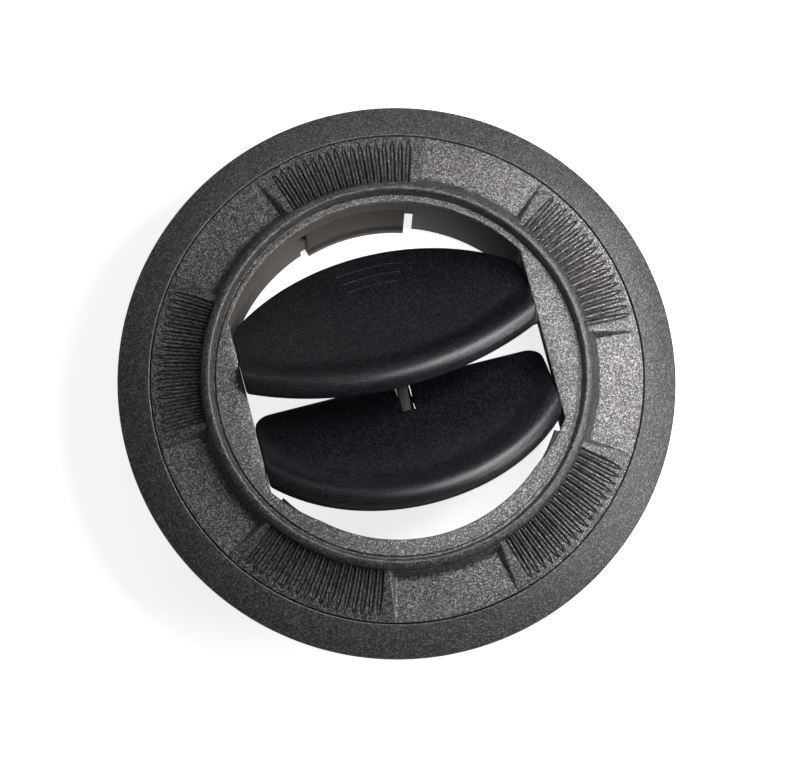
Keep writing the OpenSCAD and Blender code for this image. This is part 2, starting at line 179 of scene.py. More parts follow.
def math_node(tree, op, a, b=None, clamp=False):
    """Result of one sum, where a and b are sockets or numbers."""
    n = tree.nodes.new("ShaderNodeMath")
    n.operation = op
    n.use_clamp = clamp
    for socket, value in zip(n.inputs, (a, b)):
        if isinstance(value, (int, float)):
            socket.default_value = value
        elif value is not None:
            tree.links.new(value, socket)
    return n.outputs[0]


def noise(tree, coords, size_mm, detail=2.0, rough=0.5):
    """Noise between 0 and 1 whose lumps are about size_mm across."""
    n = tree.nodes.new("ShaderNodeTexNoise")
    n.inputs["Scale"].default_value = 1 / (size_mm * MM)
    n.inputs["Detail"].default_value = detail
    n.inputs["Roughness"].default_value = rough
    tree.links.new(coords, n.inputs["Vector"])
    return n.outputs["Fac"]


def mix_colour(tree, a, b, factor):
    """Colour between a and b, where each is a socket or three numbers."""
    n = tree.nodes.new("ShaderNodeMix")
    n.data_type = "RGBA"
    n.clamp_factor = True
    for key, value in (("A", a), ("B", b)):
        if isinstance(value, tuple):
            n.inputs[key].default_value = (*value, 1)
        else:
            tree.links.new(value, n.inputs[key])
    tree.links.new(factor, n.inputs["Factor"])
    return n.outputs["Result"]


def grain_group():
    """Moulded grain of small bumps: puts out their height and how bright each one sparkles."""
    g = bpy.data.node_groups.new("grain", "ShaderNodeTree")
    g.interface.new_socket("Vector", in_out="INPUT", socket_type="NodeSocketVector")
    g.interface.new_socket("Scale", in_out="INPUT", socket_type="NodeSocketFloat")
    g.interface.new_socket("Height", in_out="OUTPUT", socket_type="NodeSocketFloat")
    g.interface.new_socket("Speck", in_out="OUTPUT", socket_type="NodeSocketFloat")
    given = g.nodes.new("NodeGroupInput").outputs
    result = g.nodes.new("NodeGroupOutput").inputs
    cells = g.nodes.new("ShaderNodeTexVoronoi")
    fine = g.nodes.new("ShaderNodeTexNoise")
    fine.inputs["Detail"].default_value = 3.0
    fine.inputs["Roughness"].default_value = 0.6
    for n in (cells, fine):
        g.links.new(given["Vector"], n.inputs["Vector"])
        g.links.new(given["Scale"], n.inputs["Scale"])
    dome = math_node(g, "MULTIPLY", cells.outputs["Distance"], -0.8)
    g.links.new(math_node(g, "ADD", dome, fine.outputs["Fac"]), result["Height"])
    split = g.nodes.new("ShaderNodeSeparateColor")
    g.links.new(cells.outputs["Color"], split.inputs["Color"])
    g.links.new(math_node(g, "POWER", split.outputs["Red"], 3.0, clamp=True), result["Speck"])
    return g


GRAIN = grain_group()
DRIFT_MM = 9.0


def outside_band(tree, coords, middle_mm, half_mm, least):
    """Mask that falls from 1 to least on a band round the axis, which reaches half_mm to each side of the
    radius middle_mm."""
    soft_mm = 0.2
    flat = tree.nodes.new("ShaderNodeVectorMath")
    flat.operation = "MULTIPLY"
    flat.inputs[1].default_value = (1, 1, 0)
    tree.links.new(coords, flat.inputs[0])
    length = tree.nodes.new("ShaderNodeVectorMath")
    length.operation = "LENGTH"
    tree.links.new(flat.outputs["Vector"], length.inputs[0])
    off = math_node(tree, "ABSOLUTE", math_node(tree, "SUBTRACT", length.outputs["Value"], middle_mm * MM))
    steps_out = math_node(tree, "DIVIDE", off, soft_mm * MM)
    rise = math_node(tree, "SUBTRACT", steps_out, half_mm / soft_mm, clamp=True)
    return math_node(tree, "MAXIMUM", rise, least)


def plastic(name, dark, light, spark, rough, specular, grain_mm, bump_mm, speck, calm=None):
    """Grained plastic: its colour drifts between dark and light, the grain is a bump, and some bumps are
    brighter. calm gives the arguments of outside_band for a band where fewer are."""
    mat, t = new_material(name)
    bsdf = t.nodes.new("ShaderNodeBsdfPrincipled")
    t.links.new(bsdf.outputs["BSDF"], t.nodes.new("ShaderNodeOutputMaterial").inputs["Surface"])
    co = t.nodes.new("ShaderNodeTexCoord").outputs["Object"]
    grain = t.nodes.new("ShaderNodeGroup")
    grain.node_tree = GRAIN
    grain.inputs["Scale"].default_value = 1 / (grain_mm * MM)
    t.links.new(co, grain.inputs["Vector"])
    drift = mix_colour(t, dark, light, noise(t, co, DRIFT_MM, 3.0, 0.55))
    amount = math_node(t, "MULTIPLY", grain.outputs["Speck"], speck)
    if calm:
        amount = math_node(t, "MULTIPLY", amount, outside_band(t, co, *calm))
    t.links.new(mix_colour(t, drift, spark, amount), bsdf.inputs["Base Color"])
    t.links.new(amount, bsdf.inputs["Metallic"])
    bsdf.inputs["Roughness"].default_value = rough
    bsdf.inputs["Specular IOR Level"].default_value = specular
    bump = t.nodes.new("ShaderNodeBump")
    bump.inputs["Distance"].default_value = bump_mm * MM
    t.links.new(grain.outputs["Height"], bump.inputs["Height"])
    t.links.new(bump.outputs["Normal"], bsdf.inputs["Normal"])
    return mat


# Materials
WARM_SPARK = (0.52, 0.495, 0.485)
BLUE_SPARK = (0.49, 0.49, 0.57)
FLANGE = plastic("flange_plastic", (0.0092, 0.0083, 0.0078), (0.0145, 0.0135, 0.013), WARM_SPARK,
                 rough=0.46, specular=0.6, grain_mm=0.17, bump_mm=0.035, speck=0.32)
BEAD_BAND = (BEAD_MID_R + 0.3, 0.9, 0.5)
RING = plastic("ring_plastic", (0.0080, 0.0071, 0.0069), (0.0130, 0.0120, 0.0118), WARM_SPARK,
               rough=0.285, specular=0.5, grain_mm=0.17, bump_mm=0.045, speck=0.58, calm=BEAD_BAND)
BARREL = plastic("barrel_plastic", (0.060, 0.051, 0.043), (0.084, 0.073, 0.062), WARM_SPARK,
                 rough=0.42, specular=0.35, grain_mm=0.5, bump_mm=0.008, speck=0.03)
VANE = plastic("vane_plastic", (0.0011, 0.0011, 0.0026), (0.0020, 0.0020, 0.0044), BLUE_SPARK,
               rough=0.31, specular=0.55, grain_mm=0.17, bump_mm=0.036, speck=0.048)
LINK = plastic("link_plastic", (0.06, 0.06, 0.062), (0.09, 0.09, 0.092), WARM_SPARK,
               rough=0.35, specular=0.5, grain_mm=0.6, bump_mm=0.004, speck=0.0)
for node, mat in (("housing", FLANGE), ("grip_ring", RING), ("barrel", BARREL),
                  ("upper_vane", VANE), ("lower_vane", VANE), ("link_bar", LINK)):
    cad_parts[node].data.materials.clear()
    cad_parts[node].data.materials.append(mat)


# Mesh helpers
def mesh_object(name, verts, faces):
    """Object from vertices in millimetres, with its faces turned outwards."""
    me = bpy.data.meshes.new(name)
    me.from_pydata((np.asarray(verts, float) * MM).tolist(), [], faces)
    me.validate()
    if signed_volume(me) < 0:
        me.flip_normals()
    o = bpy.data.objects.new(name, me)
    scene.collection.objects.link(o)
    return o


def signed_volume(me):
    """Volume inside the mesh: sum of a . (b x c) / 6 over its triangles, negative where they face inwards."""
    me.calc_loop_triangles()
    co = np.empty(len(me.vertices) * 3)
    me.vertices.foreach_get("co", co)
    tri = np.empty(len(me.loop_triangles) * 3, int)
    me.loop_triangles.foreach_get("vertices", tri)
    a, b, c = co.reshape(-1, 3)[tri.reshape(-1, 3)].transpose(1, 0, 2)
    return float(np.einsum("ij,ij->i", a, np.cross(b, c)).sum() / 6)


def finish_piece(o, mat, body, replaces, sharp=38.0):
    """Smooth shading but for edges above sharp degrees, then material, body and replaced node."""
    o.data.shade_smooth()
    o.data.set_sharp_from_angle(angle=math.radians(sharp))
    o.data.materials.clear()
    o.data.materials.append(mat)
    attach(o, body)
    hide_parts(replaces)


def join(name, parts):
    """One object from several closed shells."""
    bpy.ops.object.select_all(action="DESELECT")
    for p in parts:
        p.select_set(True)
    bpy.context.view_layer.objects.active = parts[0]
    bpy.ops.object.join()
    parts[0].name = name
    parts[0].data.name = name
    return parts[0]


def cut(o, cutters):
    """Takes the closed cutters away from o."""
    for c in cutters:
        m = o.modifiers.new("cut", "BOOLEAN")
        m.operation = "DIFFERENCE"
        m.solver = "EXACT"
        m.object = c
        bpy.context.view_layer.objects.active = o
        bpy.ops.object.modifier_apply(modifier="cut")
        bpy.data.objects.remove(c)
    return o


def bevel(o, width, angle=30.0, segments=2):
    """Rounds the edges of o that bend by more than angle degrees, over width millimetres."""
    m = o.modifiers.new("round", "BEVEL")
    m.width = width * MM
    m.segments = segments
    m.limit_method = "ANGLE"
    m.angle_limit = math.radians(angle)
    m.harden_normals = False
    bpy.context.view_layer.objects.active = o
    bpy.ops.object.modifier_apply(modifier="round")
    return o


def grid_faces(n_u, n_v, closed_u=True):
    """Quads of an n_u by n_v grid of points, wrapped round along v, and along u where that is closed."""
    uu, vv = np.meshgrid(np.arange(n_u if closed_u else n_u - 1), np.arange(n_v), indexing="ij")
    un, vn = (uu + 1) % n_u, (vv + 1) % n_v
    quads = np.stack([uu * n_v + vv, un * n_v + vv, un * n_v + vn, uu * n_v + vn], -1)
    return quads.reshape(-1, 4).tolist()


def revolve(name, profile, steps):
    """Closed ring from a closed profile of (radius, height) points: x = r cos a, y = r sin a."""
    a = np.arange(steps) * 2 * np.pi / steps
    r, z = np.asarray(profile, float).T
    verts = np.stack([np.outer(np.cos(a), r), np.outer(np.sin(a), r), np.tile(z, (steps, 1))], -1)
    return mesh_object(name, verts.reshape(-1, 3), grid_faces(steps, len(r)))


def sector(name, profile, middle, angle, steps):
    """Part of such a ring, angle degrees wide about the direction middle, closed at both ends."""
    a = np.radians(np.linspace(middle - angle / 2, middle + angle / 2, steps + 1))
    r, z = np.asarray(profile, float).T
    verts = np.stack([np.outer(np.cos(a), r), np.outer(np.sin(a), r), np.tile(z, (steps + 1, 1))], -1)
    n = len(r)
    faces = grid_faces(steps + 1, n, closed_u=False)
    faces += [list(range(n)), list(range(steps * n, (steps + 1) * n))[::-1]]
    return mesh_object(name, verts.reshape(-1, 3), faces)


def prism_x(name, outline, x0, x1):
    """Prism along X from an outline of (y, z) points."""
    n = len(outline)
    verts = [(x, y, z) for x in (x0, x1) for y, z in outline]
    faces = [[i, (i + 1) % n, n + (i + 1) % n, n + i] for i in range(n)]
    faces += [list(range(n))[::-1], list(range(n, 2 * n))]
    return mesh_object(name, verts, faces)


def arc(cx, cy, r, a0, a1, steps):
    """Points of an arc about (cx, cy) from a0 to a1 degrees."""
    a = np.radians(np.linspace(a0, a1, steps + 1))
    return [(cx + r * math.cos(t), cy + r * math.sin(t)) for t in a]


def fillet(points, radii, steps=4):
    """Closed outline with each corner rounded by its own radius; 0 keeps it sharp."""
    out = []
    n = len(points)
    for i, (p, r) in enumerate(zip(points, radii)):
        p, a, b = (np.array(q, float) for q in (p, points[i - 1], points[(i + 1) % n]))
        if r <= 0:
            out.append(tuple(p))
            continue
        u, v = (a - p) / np.linalg.norm(a - p), (b - p) / np.linalg.norm(b - p)
        half = math.acos(np.clip(u @ v, -1, 1)) / 2
        along = r / math.tan(half)
        centre = p + (u + v) / np.linalg.norm(u + v) * r / math.sin(half)
        s, e = p + u * along - centre, p + v * along - centre
        a0, a1 = math.atan2(s[1], s[0]), math.atan2(e[1], e[0])
        turn = (a1 - a0 + math.pi) % (2 * math.pi) - math.pi
        turned = [a0 + turn * k / steps for k in range(steps + 1)]
        out += [tuple(centre + r * np.array([math.cos(t), math.sin(t)])) for t in turned]
    return out


def smooth_max(a, b, k):
    """The larger of a and b, rounded over a height k where they meet."""
    h = np.clip(0.5 + 0.5 * (a - b) / k, 0, 1)
    return b + (a - b) * h + k * h * (1 - h)


def smooth_min(a, b, k):
    """The smaller of a and b, rounded in the same way."""
    return -smooth_max(-a, -b, k)


# Grip ring
def segment_angle(theta):
    """Angle from the centre of the nearest ribbed segment; the first one is at 90 degrees."""
    return (theta - 90 + SEGMENT_STEP / 2) % SEGMENT_STEP - SEGMENT_STEP / 2


def ring_columns():
    """Angles of the ring's columns, close together on ribs and panel walls. The opening's upper corners
    have columns of their own."""
    # A rib with its two half grooves, then the panel's wall and the rest of the panel
    right = [0.15, 0.3, 0.45, 0.58, 0.72, 0.8]
    rib = np.array([-RIB_PITCH / 2] + [-x for x in reversed(right)] + [0] + right)
    ribs = np.concatenate([c + rib for c in np.arange(1 - RIBS, RIBS, 2) * RIB_PITCH / 2])
    wall = np.concatenate([[18.0, 18.3, 18.7], np.arange(19.0, 21.7, 0.2)])
    half = np.concatenate([wall, np.arange(22.0, 36.1, 1.0)])
    digits = 4
    local = np.unique(np.round(np.concatenate([-half, ribs, half]), digits))
    local = local[local < SEGMENT_STEP / 2]
    columns = [90 + k * SEGMENT_STEP + local for k in range(SEGMENTS)]
    corner = math.degrees(math.acos(CHEEK_X / OPENING_TOP_R))
    columns.append(np.array([corner, 180 - corner]))
    return np.unique(np.round(np.concatenate(columns) % 360, digits))


def opening_radius(theta, grow=0.0):
    """Distance from the axis to the plate's opening: two flat cheeks, a round top and the lower lip,
    whose corners step back to follow the closed lower vane."""
    c, s = np.cos(np.radians(theta)), np.sin(np.radians(theta))
    arc_y = -PIVOT_Y + (LOWER_FRONT_R - LOWER_FRONT) * math.cos(math.radians(CLOSED_TILT))
    arc_r = LOWER_FRONT_R + LIP_GAP + grow
    relief = arc_y * s + np.sqrt(np.maximum((arc_y * s) ** 2 - arc_y ** 2 + arc_r ** 2, 0))
    lip = np.minimum(np.maximum(OPENING_BOTTOM_R + grow, relief), OPENING_TOP_R)
    round_part = np.where(s > 0, OPENING_TOP_R, lip)
    return np.minimum(CHEEK_X / np.maximum(np.abs(c), 1e-6), round_part)


def rib_groove(r, x):
    """Depth of the groove round a rib, at radius r and x degrees from the rib's centre line. Its outline
    runs straight and ends in half an ellipse. From there it falls to the groove's floor and rises again to
    the rib's crest, which stays a little lower than the band."""
    half_angle, nose_start, nose_l, floor_in, rise, start_l = 0.83, 36.9, 4.5, 0.22, 0.22, 0.35
    mm_per_degree = math.pi / 180 * r
    across = x / half_angle
    along = np.maximum(r - nose_start, 0) / nose_l
    f = np.sqrt(across ** 2 + along ** 2)
    slope = np.sqrt((across / (half_angle * mm_per_degree)) ** 2 + (along / nose_l) ** 2)
    steepness = slope / np.maximum(f, 1e-6)
    inside = np.maximum((1 - f) / np.maximum(steepness, 1e-3), 0)
    fall = np.clip(inside / floor_in, 0, 1)
    up = np.clip((inside - floor_in) / rise, 0, 1)
    crest_drop = np.interp(r, [33.5, 39.0, 40.7], [0.5, 0.38, 0.0])
    depth = np.interp(r, [33.5, 36.0, 39.5, 41.2], [0.85, 0.80, 0.58, 0.32])
    section = fall * (2 - fall) - (1 - crest_drop) * up * up * (3 - 2 * up)
    start = np.clip((r - BAND_IN) / start_l, 0, 1)
    return section * depth * np.sqrt(1 - (1 - start) ** 2)


def band_height(r, theta):
    """Height of the band between bead and edge: ribbed plateau, sloping walls and panel floor. They meet in
    small roundings."""
    bead_blend, wall_blend, top_blend = 0.25, 0.18, 0.14
    a = segment_angle(theta)
    plateau = np.interp(r, [BAND_IN, BAND_OUT], [RING_INNER_Z, RING_EDGE_Z])
    floor = np.interp(r, [PANEL_FLOOR_R, BAND_OUT], [PANEL_FLOOR_Z, RING_EDGE_Z - 0.03])
    fall = (BEAD_MID_Z - PANEL_FLOOR_Z) / (PANEL_FLOOR_R - BAND_IN)
    bead_side = BEAD_MID_Z - (r - BAND_IN) * fall
    side = floor + np.radians(PANEL_FOOT - np.abs(a)) * r / math.tan(math.radians(PANEL_WALL_LEAN))
    panel = smooth_max(smooth_max(floor, bead_side, bead_blend), side, wall_blend)
    top = smooth_min(plateau, panel, top_blend)
    ribbed = np.abs(a) < RIBS * RIB_PITCH / 2 + 0.01
    return top - rib_groove(r, a % RIB_PITCH - RIB_PITCH / 2) * ribbed


def grip_ring():
    """Closed ring of sections, one at each angle: from the opening's edge over plate, groove, bead and band
    to the outer edge, and back underneath. Two keys behind the plate lock it to the barrel."""
    theta = ring_columns()
    n = len(theta)
    edge_r, rim_r, groove_w, groove_d, lip_step, lip_t = 0.2, 0.12, 0.68, 0.5, 0.8, 0.5
    inner = opening_radius(theta)
    under = np.maximum(opening_radius(theta, lip_step), inner + 0.03)
    bead_in = BEAD_MID_R - BEAD_R
    quarter = [math.radians(30 * k) for k in range(4)]
    bead_wall = bead_in + groove_w
    rows = [(inner + edge_r * (1 - math.cos(b)), PLATE_Z - edge_r * (1 - math.sin(b))) for b in quarter]
    rows.append((np.minimum((inner + bead_in) / 2, bead_in - 0.1), PLATE_Z))
    rows += [(bead_in, PLATE_Z), (bead_in + 0.1, PLATE_Z - groove_d), (bead_wall - 0.1, PLATE_Z - groove_d),
             (bead_wall, PLATE_Z - groove_d + 0.1)]
    for b in np.linspace(0, math.pi, 13):
        reach = BEAD_R - groove_w if b < math.pi / 2 else BEAD_R
        rows.append((BEAD_MID_R - reach * math.cos(b), BEAD_MID_Z + BEAD_R * math.sin(b)))
    # Rows of the band, closer together at the bead's foot and where the grooves end
    radii = [33.51, 33.57, 33.66, 33.8, 34.0, 34.25, 34.45, 34.65, 35.2, 36.0, 36.8, 37.6, 38.3, 39.0,
             39.5, 39.9, 40.2, 40.45, 40.7, 40.9, 41.05, 41.2, 41.4]
    rows += [(r, band_height(np.full(n, r), theta)) for r in radii]
    rim_z = RING_EDGE_Z - 0.02
    rows += [(SEAM_R - rim_r * (1 - math.sin(b)), rim_z - rim_r * (1 - math.cos(b))) for b in quarter]
    core_in, core_out, socket_r = 33.55, 40.5, 32.05
    rows += [(SEAM_R, RING_BASE_Z), (core_out, RING_BASE_Z), (core_out, RING_BASE_Z + 0.5),
             (core_in, RING_BASE_Z + 0.9), (core_in, RING_BASE_Z), (socket_r, RING_BASE_Z),
             (socket_r, PLATE_BASE_Z), (under, PLATE_BASE_Z)]
    rows += [(under, PLATE_Z - lip_t), (inner, PLATE_Z - lip_t)]
    r = np.stack([np.broadcast_to(row[0], n) for row in rows], 1)
    z = np.stack([np.broadcast_to(row[1], n) for row in rows], 1)
    t = np.radians(theta)[:, None]
    verts = np.stack([r * np.cos(t), r * np.sin(t), z], -1).reshape(-1, 3)
    ring = mesh_object("ring", verts, grid_faces(n, len(rows)))
    inner_x, outer_x, key_half = BEARING_X + CHEEK_WALL_T + 0.1, 29.48, 4
    z0, z1 = PLATE_BASE_Z - 1.9, PLATE_BASE_Z + 0.1
    square = [(-key_half, z0), (key_half, z0), (key_half, z1), (-key_half, z1)]
    keys = [prism_x("key", square, *sorted((side * inner_x, side * outer_x))) for side in (-1, 1)]
    finish_piece(join("ring_moulding", [ring] + keys), RING, "rotor", "grip_ring", sharp=42)


# Flange, collar and tongues
def housing():
    """Revolved flange and collar with rounded edges, ribs behind it, windows and their spring tongues."""
    edge_r = FLANGE_R - 0.35
    lip_r = SEAT_R + 0.3
    slope = (FLANGE_LIP_Z - FLANGE_EDGE_Z) / (edge_r - lip_r)
    drop = FLANGE_WALL * math.hypot(1, slope)
    crown_r = SEAT_R + 1.2
    crown_z = FLANGE_LIP_Z - slope * (crown_r - lip_r) - drop
    floor_back = FLOOR_Z - FLOOR_T
    points = [(FLANGE_R, 0), (FLANGE_R, FLANGE_EDGE_Z + 0.2), (SEAT_R, FLANGE_LIP_Z + 0.18),
              (SEAT_R, FLOOR_Z), (COLLAR_R, FLOOR_Z), (COLLAR_R, COLLAR_END_Z), (COLLAR_OUT_R, COLLAR_END_Z),
              (COLLAR_OUT_R, floor_back), (SEAT_R, floor_back), (crown_r, crown_z), (FLANGE_R - RIM_W, 0)]
    radii = [0.3, 0.55, 0.22, 0.1, 0.15, 0.2, 0.5, 0.3, 0.1, 0.4, 0.2]
    body = revolve("flange", fillet(points, radii), 480)
    half = math.degrees(math.asin(TONGUE_W / 2 / TONGUE_R))
    window_in, window_out = TONGUE_R + 0.01, TONGUE_R + BARB_H + 0.4
    window = [(window_in, -0.01), (window_out, -0.01), (window_out, FLOOR_Z + 1), (window_in, FLOOR_Z + 1)]
    places = [k * 360 / TONGUES for k in range(TONGUES)]
    cut(body, [sector("window", window, a, 2 * half, 12) for a in places])
    root_z, tip_z = floor_back + 0.2, -PANEL_T - BARB_RAMP - 1
    tongue = [(TONGUE_R - TONGUE_T, root_z), (TONGUE_R - TONGUE_T, tip_z), (TONGUE_R - 0.4, tip_z),
              (TONGUE_R + BARB_H, -PANEL_T - 1), (TONGUE_R, -PANEL_T), (TONGUE_R, root_z)]
    parts = [bevel(sector("tongue", tongue, a, 2 * half, 12), 0.15) for a in places]
    rib = [(-BACK_RIB_T / 2, 0), (BACK_RIB_T / 2, 0), (BACK_RIB_T / 2, root_z), (-BACK_RIB_T / 2, root_z)]
    for k in range(BACK_RIBS):
        o = prism_x("rib", rib, COLLAR_OUT_R - 0.2, FLANGE_R - RIM_W + 0.1)
        o.data.transform(Matrix.Rotation(math.radians((k + 0.5) * 360 / BACK_RIBS), 4, "Z"))
        parts.append(bevel(o, 0.12))
    finish_piece(join("flange_moulding", [body] + parts), FLANGE, "housing", "housing")


# Barrel
def bore_r(z):
    """Radius of the drafted bore at height z."""
    return BORE_REAR_R + (BORE_FRONT_R - BORE_REAR_R) * (z - BARREL_END_Z) / (PLATE_BASE_Z - BARREL_END_Z)


def barrel():
    """Drafted tube with two snap fingers between slots, and the two cheek walls with their bearings."""
    wall = fillet([(bore_r(PLATE_BASE_Z), PLATE_BASE_Z), (bore_r(BARREL_END_Z), BARREL_END_Z),
                   (BARREL_R, BARREL_END_Z), (BARREL_R, PLATE_BASE_Z)], [0, 0.25, 0.5, 0])
    body = revolve("tube", wall, 360)
    room = [(BORE_REAR_R - 1, FINGER_ROOT_Z), (BARREL_R + 1, FINGER_ROOT_Z),
            (BARREL_R + 1, BARREL_END_Z - 1), (BORE_REAR_R - 1, BARREL_END_Z - 1)]
    cut(body, [sector("room", room, a, FINGER_ANGLE + 2 * SLOT_ANGLE, 36) for a in (90, 270)])
    root_z, pad_z, hook_z = FINGER_ROOT_Z + 0.5, FINGER_END_Z + 3, COLLAR_END_Z - 0.12
    thin, hook_r = 0.06, BARREL_R + 0.9
    pad_r = bore_r(pad_z) - 0.5
    finger = [(bore_r(root_z) + thin, root_z), (bore_r(pad_z) + thin, pad_z), (pad_r, pad_z - 0.5),
              (pad_r, FINGER_END_Z), (BARREL_R - 0.5, FINGER_END_Z), (hook_r, hook_z - 2),
              (hook_r, hook_z), (BARREL_R, hook_z), (BARREL_R, root_z)]
    parts = [bevel(sector("finger", finger, a, FINGER_ANGLE, 36), 0.12) for a in (90, 270)]
    skin, back, web_z = BARREL_R - 0.3, -10.2, -5.5
    recess = [(skin, root_z), (skin, back), (BARREL_R - 0.02, back), (BARREL_R - 0.02, root_z)]
    web_r, web_end = bore_r(web_z) + 0.35, BARREL_END_Z + 1.2
    web = [(web_r, web_z), (web_r, web_end), (web_r + 0.5, web_end), (BARREL_R - 0.04, web_z)]
    slot_at = (FINGER_ANGLE + SLOT_ANGLE) / 2
    for a in (90, 270):
        parts += [sector("recess", recess, a + side * slot_at, SLOT_ANGLE + 0.3, 6) for side in (-1, 1)]
        parts.append(sector("web", web, a + slot_at, SLOT_ANGLE + 0.3, 6))
    bearing_r = PIN_R + 0.05
    outer_x = BEARING_X + CHEEK_WALL_T

    def wall_outline(start, end, pivots):
        """Outline in y and z, open round the pins so that the vanes drop in from the front."""
        points = [(start, CHEEK_WALL_Z), (end, CHEEK_WALL_Z), (end, PLATE_BASE_Z)]
        for y in pivots:
            points += [(y + bearing_r, PLATE_BASE_Z)] + arc(y, PIVOT_Z, bearing_r, 0, -180, 16)
            points += [(y - bearing_r, PLATE_BASE_Z)]
        return points + [(start, PLATE_BASE_Z)]

    back_l = math.sqrt((BORE_REAR_R + 0.5) ** 2 - WALL_BACK_X ** 2)
    face_l = math.sqrt((BORE_REAR_R + 0.5) ** 2 - BEARING_X ** 2)
    for s in (-1, 1):
        outline = wall_outline(-back_l, back_l, (PIVOT_Y, -PIVOT_Y))
        parts.append(prism_x("cheek_wall", outline, *sorted((s * WALL_BACK_X, s * outer_x))))
        faces_x = sorted((s * BEARING_X, s * (WALL_BACK_X + 0.05)))
        for low, high, y in ((WALL_BACK_HIGH, face_l, PIVOT_Y), (-face_l, WALL_BACK_LOW, -PIVOT_Y)):
            parts.append(bevel(prism_x("facing", wall_outline(low, high, (y,)), *faces_x), 0.1, angle=60))
    ledge_in, ledge_out, low_z, high_z = 28.3, BORE_FRONT_R - 0.2, 1.0, 2.6
    ledge_at, ledge_angle = 47, 21
    ledge = [(ledge_in, low_z), (ledge_out, low_z), (ledge_out, high_z), (ledge_in, high_z)]
    ledge = fillet(ledge, [0.3, 0, 0, 0.3])
    parts += [sector("ledge", ledge, 270 + side * ledge_at, ledge_angle, 12) for side in (-1, 1)]
    finish_piece(join("barrel_moulding", [body] + parts), BARREL, "rotor", "barrel")


# Vanes
def corner_limit(x, arc_y, arc_r, round_r, side):
    """y of a vane's outline at x: an arc about (0, arc_y) that a circle of round_r joins to the straight
    end."""
    centre_x = VANE_HALF - round_r
    centre_y = arc_y + side * math.sqrt((arc_r - round_r) ** 2 - centre_x ** 2)
    touch_x = centre_x * arc_r / (arc_r - round_r)
    x = np.abs(x)
    on_arc = arc_y + side * np.sqrt(np.maximum(arc_r ** 2 - x ** 2, 0))
    on_round = centre_y + side * np.sqrt(np.maximum(round_r ** 2 - np.maximum(x - centre_x, 0) ** 2, 0))
    return np.where(x < touch_x, on_arc, on_round)


